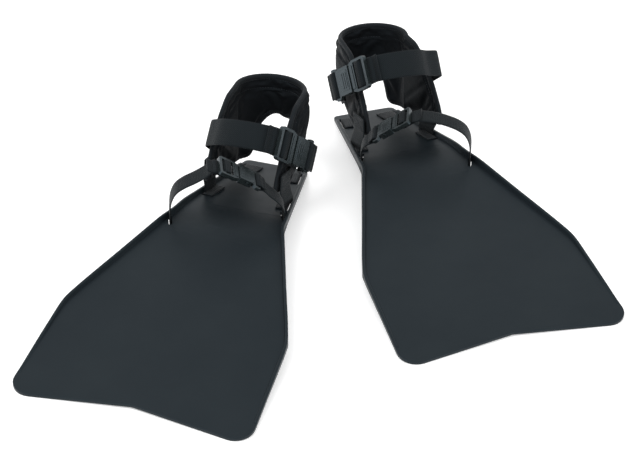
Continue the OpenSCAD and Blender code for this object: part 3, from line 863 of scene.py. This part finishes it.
def cuff_pad(side):
    name = SIDES[side] + "_cuff_pad"
    draw = random.Random(40 + side)
    stations = cuff_stations(side)
    n = len(stations)
    grid = np.zeros((2, n, ROWS + 1, 3))
    pins = np.zeros((2, n, ROWS + 1))
    pucker = [(draw.uniform(0.25, 0.75), draw.uniform(0.02, 0.05), draw.uniform(-1.6, 1.6)) for _ in range(9)]
    for i, (p, nrm) in enumerate(stations):
        low, top = edge_heights(p)
        for j in range(ROWS + 1):
            h = low + (top - low) * j / ROWS
            down = top - h
            edge_a = min(i, n - 1 - i) / 5.0
            rim = min(1.0, min(h - low, down) / 7.0, edge_a)
            puff = 0.28 + 0.72 * math.sqrt(max(0.0, 1 - (1 - max(0, rim)) ** 2))
            groove = math.exp(-((down - 16) / 2.0) ** 2) if top - low > 30 else 0.0
            puff *= 1 - 0.45 * groove
            bulge = 0.0
            height = math.sin(math.pi * min(1, (h - low) / max(1, top - low)))
            for at, wide, amount in pucker:
                bulge += amount * math.exp(-((i / n - at) / wide) ** 2) * height
            lean = -2.5 * ((h - 75) / 70) ** 2 + 1.2 * math.sin(0.05 * h + 3 * i / n + side)
            for f, sg in ((0, 1), (1, -1)):
                off = sg * CUFF_T / 2 * puff + 0.5 * bulge + lean * 0.6
                grid[f, i, j] = (p[0] + nrm[0] * off, p[1] + nrm[1] * off, h)
                pins[f, i, j] = 1.0 if (rim < 0.25 or groove > 0.6) else 0.0
    verts = grid.reshape(-1, 3)
    at = lambda f, i, j: (f * n + i) * (ROWS + 1) + j
    faces = []
    for i in range(n - 1):
        for j in range(ROWS):
            faces.append((at(0, i, j), at(0, i, j + 1), at(0, i + 1, j + 1), at(0, i + 1, j)))
            faces.append((at(1, i, j), at(1, i + 1, j), at(1, i + 1, j + 1), at(1, i, j + 1)))
        faces.append((at(0, i, 0), at(0, i + 1, 0), at(1, i + 1, 0), at(1, i, 0)))
        faces.append((at(0, i, ROWS), at(1, i, ROWS), at(1, i + 1, ROWS), at(0, i + 1, ROWS)))
    for j in range(ROWS):
        faces.append((at(0, 0, j), at(1, 0, j), at(1, 0, j + 1), at(0, 0, j + 1)))
        faces.append((at(0, n - 1, j), at(0, n - 1, j + 1), at(1, n - 1, j + 1), at(1, n - 1, j)))
    o = build(name, verts, faces, CUFF, HEEL[side])
    b = bmesh.new()
    b.from_mesh(o.data)
    bmesh.ops.recalc_face_normals(b, faces=b.faces)
    b.to_mesh(o.data)
    b.free()
    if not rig.quick():
        puff_up(o, pins.ravel())
    o.modifiers.new("smooth", "SUBSURF").levels = 1
    o.modifiers["smooth"].render_levels = 1
    return o, stations


def puff_up(o, pins):
    """Pressed out by a little inner pressure as cloth, held at the seams, then the movement is capped."""
    rest = np.array([v.co for v in o.data.vertices], float)
    g = o.vertex_groups.new(name="seams")
    g.add([i for i, p in enumerate(pins) if p > 0.5], 1.0, "REPLACE")
    c = o.modifiers.new("cloth", "CLOTH")
    st = c.settings
    st.quality = 5
    st.mass = 0.1
    st.tension_stiffness = 12
    st.compression_stiffness = 12
    st.shear_stiffness = 6
    st.bending_stiffness = 0.3
    st.use_pressure = True
    st.uniform_pressure_force = 4
    st.vertex_group_mass = "seams"
    st.shrink_min = -0.06
    st.effector_weights.gravity = 0
    c.collision_settings.use_collision = False
    c.point_cache.frame_start, c.point_cache.frame_end = 1, 20
    for f in range(1, 21):
        bpy.context.scene.frame_set(f)
    e = o.evaluated_get(bpy.context.evaluated_depsgraph_get())
    moved = np.array([v.co for v in e.data.vertices], float) - rest
    size = np.linalg.norm(moved, axis=1)
    cap = 0.0026
    moved *= (np.minimum(size, cap) / np.maximum(size, 1e-9))[:, None]
    o.modifiers.remove(c)
    bpy.context.scene.frame_set(1)
    o.data.vertices.foreach_set("co", (rest + moved).astype(np.float32).ravel())
    o.data.update()


def cuff_binding(side, stations):
    """Tape rolled over the pad's edges: the top from wing to wing, and the bottom with the arch."""
    name = SIDES[side]
    tops = [(p[0], p[1], edge_heights(p)[1]) for p, _ in stations]
    lows = [(p[0], p[1], edge_heights(p)[0]) for p, _ in stations]
    loop = [(q, s[1]) for q, s in zip(tops, stations)]
    loop += [(q, s[1]) for q, s in reversed(list(zip(lows, stations)))]
    path = np.array([q for q, _ in loop])
    normal = np.array([(n[0], n[1], 0) for _, n in loop])
    keep = [0]
    for i in range(1, len(path)):
        if np.linalg.norm(path[i] - path[keep[-1]]) > 1.8:
            keep.append(i)
    path, normal = path[keep], normal[keep]
    s = np.concatenate([[0], np.cumsum(np.linalg.norm(np.diff(path, axis=0), axis=1))])
    closing = np.linalg.norm(path[0] - path[-1])
    total = s[-1] + closing
    path, normal = np.vstack([path, path[:1]]), np.vstack([normal, normal[:1]])
    s = np.append(s, total)
    even = np.linspace(0, total, int(total / 2.2), endpoint=False)
    path = np.stack([np.interp(even, s, path[:, k]) for k in range(3)], axis=1)
    normal = np.stack([np.interp(even, s, normal[:, k]) for k in range(3)], axis=1)
    for _ in range(3):
        path = (np.roll(path, 1, 0) + 2 * path + np.roll(path, -1, 0)) / 4
    h = path[:, 2]
    lean = (-2.5 * ((h - 75) / 70) ** 2) * 0.6
    path = path + normal * lean[:, None]
    d = np.roll(path, -1, 0) - np.roll(path, 1, 0)
    d /= np.linalg.norm(d, axis=1)[:, None]
    normal = normal - d * np.sum(normal * d, axis=1)[:, None]
    normal /= np.linalg.norm(normal, axis=1)[:, None]
    inward = np.cross(d, normal)
    profile = []
    for k in range(12):
        a = 2 * math.pi * k / 12
        profile.append((4.6 * math.cos(a), 3.5 * math.sin(a)))
    o = sweep(f"{name}_cuff_edge_tape", path, inward, normal, profile, TAPE, HEEL[side], closed=True)
    b = bmesh.new()
    b.from_mesh(o.data)
    bmesh.ops.recalc_face_normals(b, faces=b.faces)
    b.to_mesh(o.data)
    b.free()
    lines = []
    for sg in (1, -1):
        lines.append([(p + sg * n * 3.1 + i * 2.6, sg * n) for p, n, i in zip(path, normal, inward)])
    t = stitches(f"{name}_cuff_edge_thread", lines, THREAD, HEEL[side], radius=0.28)
    return o, t


def quilt_lines(side, stations):
    lines = []
    for sg in (1, -1):
        line = []
        for p, n in stations[10:-10]:
            low, top = edge_heights(p)
            if top - low < 34:
                continue
            h = top - 16
            lean = -2.5 * ((h - 75) / 70) ** 2 * 0.6
            off = sg * CUFF_T / 2 * 0.6 + lean
            line.append(((p[0] + n[0] * off, p[1] + n[1] * off, h), (n[0] * sg, n[1] * sg, 0)))
        lines.append(line)
    return stitches(SIDES[side] + "_cuff_quilt_thread", lines, THREAD, HEEL[side], radius=0.3)


def cuff_leg(side, mirrored):
    """Webbing from the front slot up a wing's outer face; it bends where it leaves the plate."""
    s = OUT_SPLAY[side] if mirrored else IN_SPLAY
    tag = "outer" if mirrored else "inner"
    name = SIDES[side]
    foot = heel_edge(CUFF_SLOT_V) - SLOT_IN
    face = wing_u(s, CUFF_SLOT_V) * cos(s) + CUFF_T / 2 + TAPE_OUT + WEB_T / 2 + 0.2
    base = HEEL[side] @ (Matrix.Diagonal((-1, 1, 1, 1)) if mirrored else Matrix.Identity(4))
    f = base @ move(0, CUFF_SLOT_V, 0) @ turn(s, "Z") @ turn(90, "X")
    path = [(foot, -1.0), (foot + 0.3, 4), (foot + 0.2, 9), ((foot + face) / 2 + 0.2, 16),
            (face + 0.5, 24), (face, 33), (face, 50)]
    o = strap_in_plane(f"{name}_cuff_leg_{tag}_web", path, WIDE, WEB_WIDE, f)
    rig.replaces(o, f"{name}_cuff_leg_{tag}")
    up = (HEEL[side] @ Vector((0, 85, 1))) * MM, (HEEL[side] @ Vector((0, 85, 16))) * MM
    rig.blend(o, f"{name}_fin", f"{name}_cuff", up[0], up[1])
    out, half = face + 1.25, WIDE / 2 - 4
    lines = crossed_box([(out, 30, -half), (out, 47, -half), (out, 47, half), (out, 30, half)], (1, 0, 0))
    t = stitches(f"{name}_cuff_leg_{tag}_thread", lines, THREAD, f)
    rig.ride(t, f"{name}_cuff")


# ---------------------------------------------------------------- straps and buckles
def clip_k(web):
    return 1.2 if web > 30 else 1.0


def turned(p, a):
    return Vector((p[0] * cos(a) - p[1] * sin(a), p[0] * sin(a) + p[1] * cos(a)))


def from_clip(points, at, angle):
    return [tuple(at + turned(p, angle)) for p in points]


def into_plug(web):
    k, h = clip_k(web), 3 + WEB_T / 2 + 0.3
    return [(-34 * k, -h - 0.6), (-29 * k, -h), (-25.2 * k, -h), (-22.6 * k, 0), (-20.2 * k, h),
            (-17 * k, h + 0.2), (-13.9 * k, h), (-12.2 * k, 0), (-12.0 * k, -h), (-15.5 * k, -h - 2.6),
            (-22 * k, -h - 2.9), (-30 * k, -h - 2.9), (-44 * k, -h - 3.4)]


def round_bar(web):
    k, h = clip_k(web), 2.5 + WEB_T / 2 + 0.4
    return [(43 * k, 1.2), (38 * k, 2.2), (34.6 * k, h), (30.6 * k, h), (29.0 * k, h - 1), (28.4 * k, 0),
            (29.0 * k, -h + 1), (30.6 * k, -h), (34.6 * k, -h), (41 * k, -1.6)]


def ankle_y(v):
    return -(v - ANKLE_V) / cos(ANKLE_SLOPE)


def on_wing(s, v):
    return (wing_u(s, v) + (CUFF_T / 2 + TAPE_OUT + WEB_T / 2) / cos(s) + 0.3
            + WIDE / 2 * sin(ANKLE_SLOPE) * abs(sin(s)))


def ankle_strap(side):
    name, s = SIDES[side], OUT_SPLAY[side]
    run = [(-on_wing(s, v), ankle_y(v)) for v in (122, 96, 86)]
    run += [(-on_wing(s, 80) + 1, ankle_y(79)), (-50, -19), (-39, -9), (-24, -2), (-6, 2), (14, 3), (28, 1)]
    run += from_clip(into_plug(WIDE), ANKLE_CLIP, ANKLE_CLIP_TURN)
    o = strap_in_plane(f"{name}_ankle_strap_web", run, WIDE, WEB_WIDE, ANKLE_FRAME[side],
                       ripple=0.5, seed=5 + side)
    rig.replaces(o, f"{name}_ankle_strap")
    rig.ride(o, f"{name}_cuff")
    tail = from_clip(round_bar(WIDE), ANKLE_CLIP, ANKLE_CLIP_TURN) + [
        (67, ankle_y(128)), (on_wing(IN_SPLAY, 135) + 1, ankle_y(135)),
        (on_wing(IN_SPLAY, 141), ankle_y(141)), (on_wing(IN_SPLAY, 152), ankle_y(152))]
    w = strap_in_plane(f"{name}_ankle_buckle_web", tail, WIDE, WEB_WIDE, ANKLE_FRAME[side])
    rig.replaces(w, f"{name}_ankle_buckle_webbing")
    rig.ride(w, f"{name}_cuff")
    x0, x1 = ankle_y(118), ankle_y(98)
    u0, u1 = -on_wing(s, 118) - 1.2, -on_wing(s, 98) - 1.2
    lines = crossed_box([(u0, x0, -15), (u1, x1, -15), (u1, x1, 15), (u0, x0, 15)], (-1, 0, 0))
    t = stitches(f"{name}_ankle_strap_thread", lines, THREAD, ANKLE_FRAME[side])
    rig.ride(t, f"{name}_cuff")


def instep_strap(side):
    name = SIDES[side]
    at, angle = FOOT_CLIP[side], FOOT_CLIP_TURN[side]
    run = [(-FOOT_HALF, -3), (-FOOT_HALF, 4), (-FOOT_HALF - 1, 26), (-FOOT_HALF + 1, 40),
           (-FOOT_HALF + 7, 54), (-60, 64)]
    run += [(-46, 72), (-34, 80)] if side == LEFT else [(-42, 72), (-22, 77)]
    run += from_clip(into_plug(NARROW), at, angle)
    o = strap_in_plane(f"{name}_instep_strap_web", run, NARROW, WEB_NARROW, FOOT_FRAME[side],
                       ripple=0.5, seed=9 + side)
    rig.replaces(o, f"{name}_foot_strap")
    tail = from_clip(round_bar(NARROW), at, angle)
    tail += [(56, 46), (66, 36), (73, 27)] if side == LEFT else [(73, 28)]
    tail += [(FOOT_HALF - 1, 18), (FOOT_HALF, 9), (FOOT_HALF, -2)]
    w = strap_in_plane(f"{name}_instep_buckle_web", tail, NARROW, WEB_NARROW, FOOT_FRAME[side])
    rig.replaces(w, f"{name}_foot_buckle_webbing")
    low, high = (FOOT_FRAME[side] @ Vector((0, 0, 0))) * MM, (FOOT_FRAME[side] @ Vector((0, 16, 0))) * MM
    for x in (o, w):
        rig.blend(x, f"{name}_fin", f"{name}_instep", low, high)


def relief(name, matrix, web):
    """Raised panels and grip ribs on the faces of a buckle's two halves."""
    k, w = clip_k(web), web + 9
    verts, faces = [], []

    def slab(outline, z0, z1, inset):
        base = len(verts)
        n = len(outline)
        cx = sum(p[0] for p in outline) / n
        cy = sum(p[1] for p in outline) / n
        for z, f in ((z0, 0.0), (z1 - 0.2 * (z1 - z0), 0.0), (z1, inset)):
            for x, y in outline:
                d = math.hypot(x - cx, y - cy)
                verts.append((x + (cx - x) * f / d, y + (cy - y) * f / d, z))
        for low in (base, base + n):
            for i in range(n):
                j = (i + 1) % n
                faces.append((low + i, low + j, low + n + j, low + n + i))
        faces.append(tuple(base + 2 * n + i for i in range(n)))
        faces.append(tuple(base + i for i in reversed(range(n))))

    def soft_box(x0, x1, y0, y1, r):
        return [tuple(p) for p in rounded([(x0, y0, r), (x1, y0, r), (x1, y1, r), (x0, y1, r)])]

    y0, y1 = w / 2 - 7 * k, w / 2 - 8 * k
    panel = rounded([(3 * k, -y0, 1.5), (17.5 * k, -y1, 1.5), (17.5 * k, y1, 1.5), (3 * k, y0, 1.5)])
    slab([tuple(p) for p in panel], 4.6, 5.5, 0.5)
    for i in range(3):
        x = (5 + 3.6 * i) * k
        slab(soft_box(x, x + 1.4 * k, -w / 2 + 10 * k, w / 2 - 10 * k, 0.5), 5.3, 6.0, 0.35)
    slab(soft_box(-6.5 * k, -1.5 * k, -w / 2 + 5 * k, w / 2 - 5 * k, 1.2), 2.7, 3.7, 0.5)
    return build(name, verts, faces, BUCKLE, matrix, smooth=False)


def buckles(side):
    name = SIDES[side]
    for kind, body, prongs in (("ankle", "cuff", ("upper", "lower")), ("foot", "instep", ("rear", "front"))):
        for part in ("plug", "socket"):
            cad = f"{name}_{kind}_{part}"
            o = from_cad(f"{cad}_moulding", cad, BUCKLE, 0.0009)
            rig.replaces(o, cad)
            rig.ride(o, f"{name}_{body}")
            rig.slot(o, "buckle_plastic")
        for p in prongs:
            cad = f"{name}_{kind}_prong_{p}"
            o = from_cad(f"{cad}_moulding", cad, BUCKLE, 0.0004)
            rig.replaces(o, cad)
            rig.ride(o, f"{cad}_body")
            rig.slot(o, "buckle_plastic")
    at_ankle = clip_frame(ANKLE_FRAME[side], ANKLE_CLIP, ANKLE_CLIP_TURN)
    at_foot = clip_frame(FOOT_FRAME[side], FOOT_CLIP[side], FOOT_CLIP_TURN[side])
    a = relief(f"{name}_ankle_buckle_relief", at_ankle, WIDE)
    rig.ride(a, f"{name}_cuff")
    b = relief(f"{name}_instep_buckle_relief", at_foot, NARROW)
    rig.ride(b, f"{name}_instep")
    for o in (a, b):
        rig.slot(o, "buckle_plastic")


for side in (LEFT, RIGHT):
    name = SIDES[side]
    p = plate(side)
    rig.replaces(p, f"{name}_blade")
    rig.slot(p, "plate_plastic")
    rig.ride(p, f"{name}_fin")
    for r in side_rails(side):
        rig.slot(r, "plate_plastic")
        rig.ride(r, f"{name}_fin")
    plate_webbing(side)
    pad, stations = cuff_pad(side)
    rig.replaces(pad, f"{name}_cuff_cover", f"{name}_cuff_foam", f"{name}_cuff_lining")
    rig.slot(pad, "cuff_fabric")
    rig.ride(pad, f"{name}_cuff")
    tape, thread = cuff_binding(side, stations)
    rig.replaces(tape, f"{name}_cuff_binding")
    quilt = quilt_lines(side, stations)
    for o in (tape, thread, quilt):
        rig.ride(o, f"{name}_cuff")
    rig.padded(pad, fill=0.7)
    for m in (False, True):
        cuff_leg(side, m)
    ankle_strap(side)
    instep_strap(side)
    buckles(side)

for o in list(bpy.context.scene.objects):
    if o.type == "MESH" and not o.hide_render and "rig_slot" not in o and o.data.materials:
        first = o.data.materials[0].name
        if first.startswith("webbing") or first in ("binding_tape", "thread"):
            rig.slot(o, "webbing")

# ---------------------------------------------------------------- stage, light and camera
floor_mat, _, fb = new_material("floor", (0.93, 0.93, 0.93), 0.9, 0.1)
fb.inputs["Emission Color"].default_value = (1, 1, 1, 1)
fb.inputs["Emission Strength"].default_value = 0.3
floor_mesh = bpy.data.meshes.new("floor")
floor_mesh.from_pydata([(-30, -30, 0), (30, -30, 0), (30, 30, 0), (-30, 30, 0)], [], [(0, 1, 2, 3)])
floor_mesh.materials.append(floor_mat)
floor = bpy.data.objects.new("floor", floor_mesh)
bpy.context.scene.collection.objects.link(floor)
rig.stage(floor)

world = bpy.data.worlds.new("studio")
world.use_nodes = True
world.node_tree.nodes["Background"].inputs["Color"].default_value = (1, 1, 1, 1)
world.node_tree.nodes["Background"].inputs["Strength"].default_value = 1.0
bpy.context.scene.world = world


def softbox(name, at, target, size, power):
    l = bpy.data.lights.new(name, "AREA")
    l.shape = "RECTANGLE"
    l.size, l.size_y = size
    l.energy = power
    o = bpy.data.objects.new(name, l)
    o.location = at
    o.rotation_mode = "QUATERNION"
    o.rotation_quaternion = (Vector(target) - Vector(at)).to_track_quat("-Z", "Y")
    bpy.context.scene.collection.objects.link(o)
    return o


softbox("key", (-1.2, -0.6, 2.4), (0, 0.1, 0), (1.6, 1.2), 26)
softbox("fill", (1.8, -1.2, 1.8), (0, 0.1, 0), (1.4, 1.4), 12)

cam = bpy.data.cameras.new("camera")
cam.lens = 114.88
cam.sensor_width = 36
cam.clip_start, cam.clip_end = 0.05, 100
camera = bpy.data.objects.new("camera", cam)
foot_y = (SHIFT - 344.36 - 2020.95) * MM
camera.matrix_world = (move(-0.06607, foot_y, 1.6225) @ turn(-1.512, "Z") @ turn(90 - 34.88, "X")
                       @ turn(1.195, "Z"))
bpy.context.scene.collection.objects.link(camera)
bpy.context.scene.camera = camera
bpy.context.scene.view_settings.view_transform = "Standard"

lo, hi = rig.bounds()
with open("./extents.json", "w") as f:
    json.dump({"cad": [list(cad_lo), list(cad_hi)], "visual": [list(lo), list(hi)]}, f)
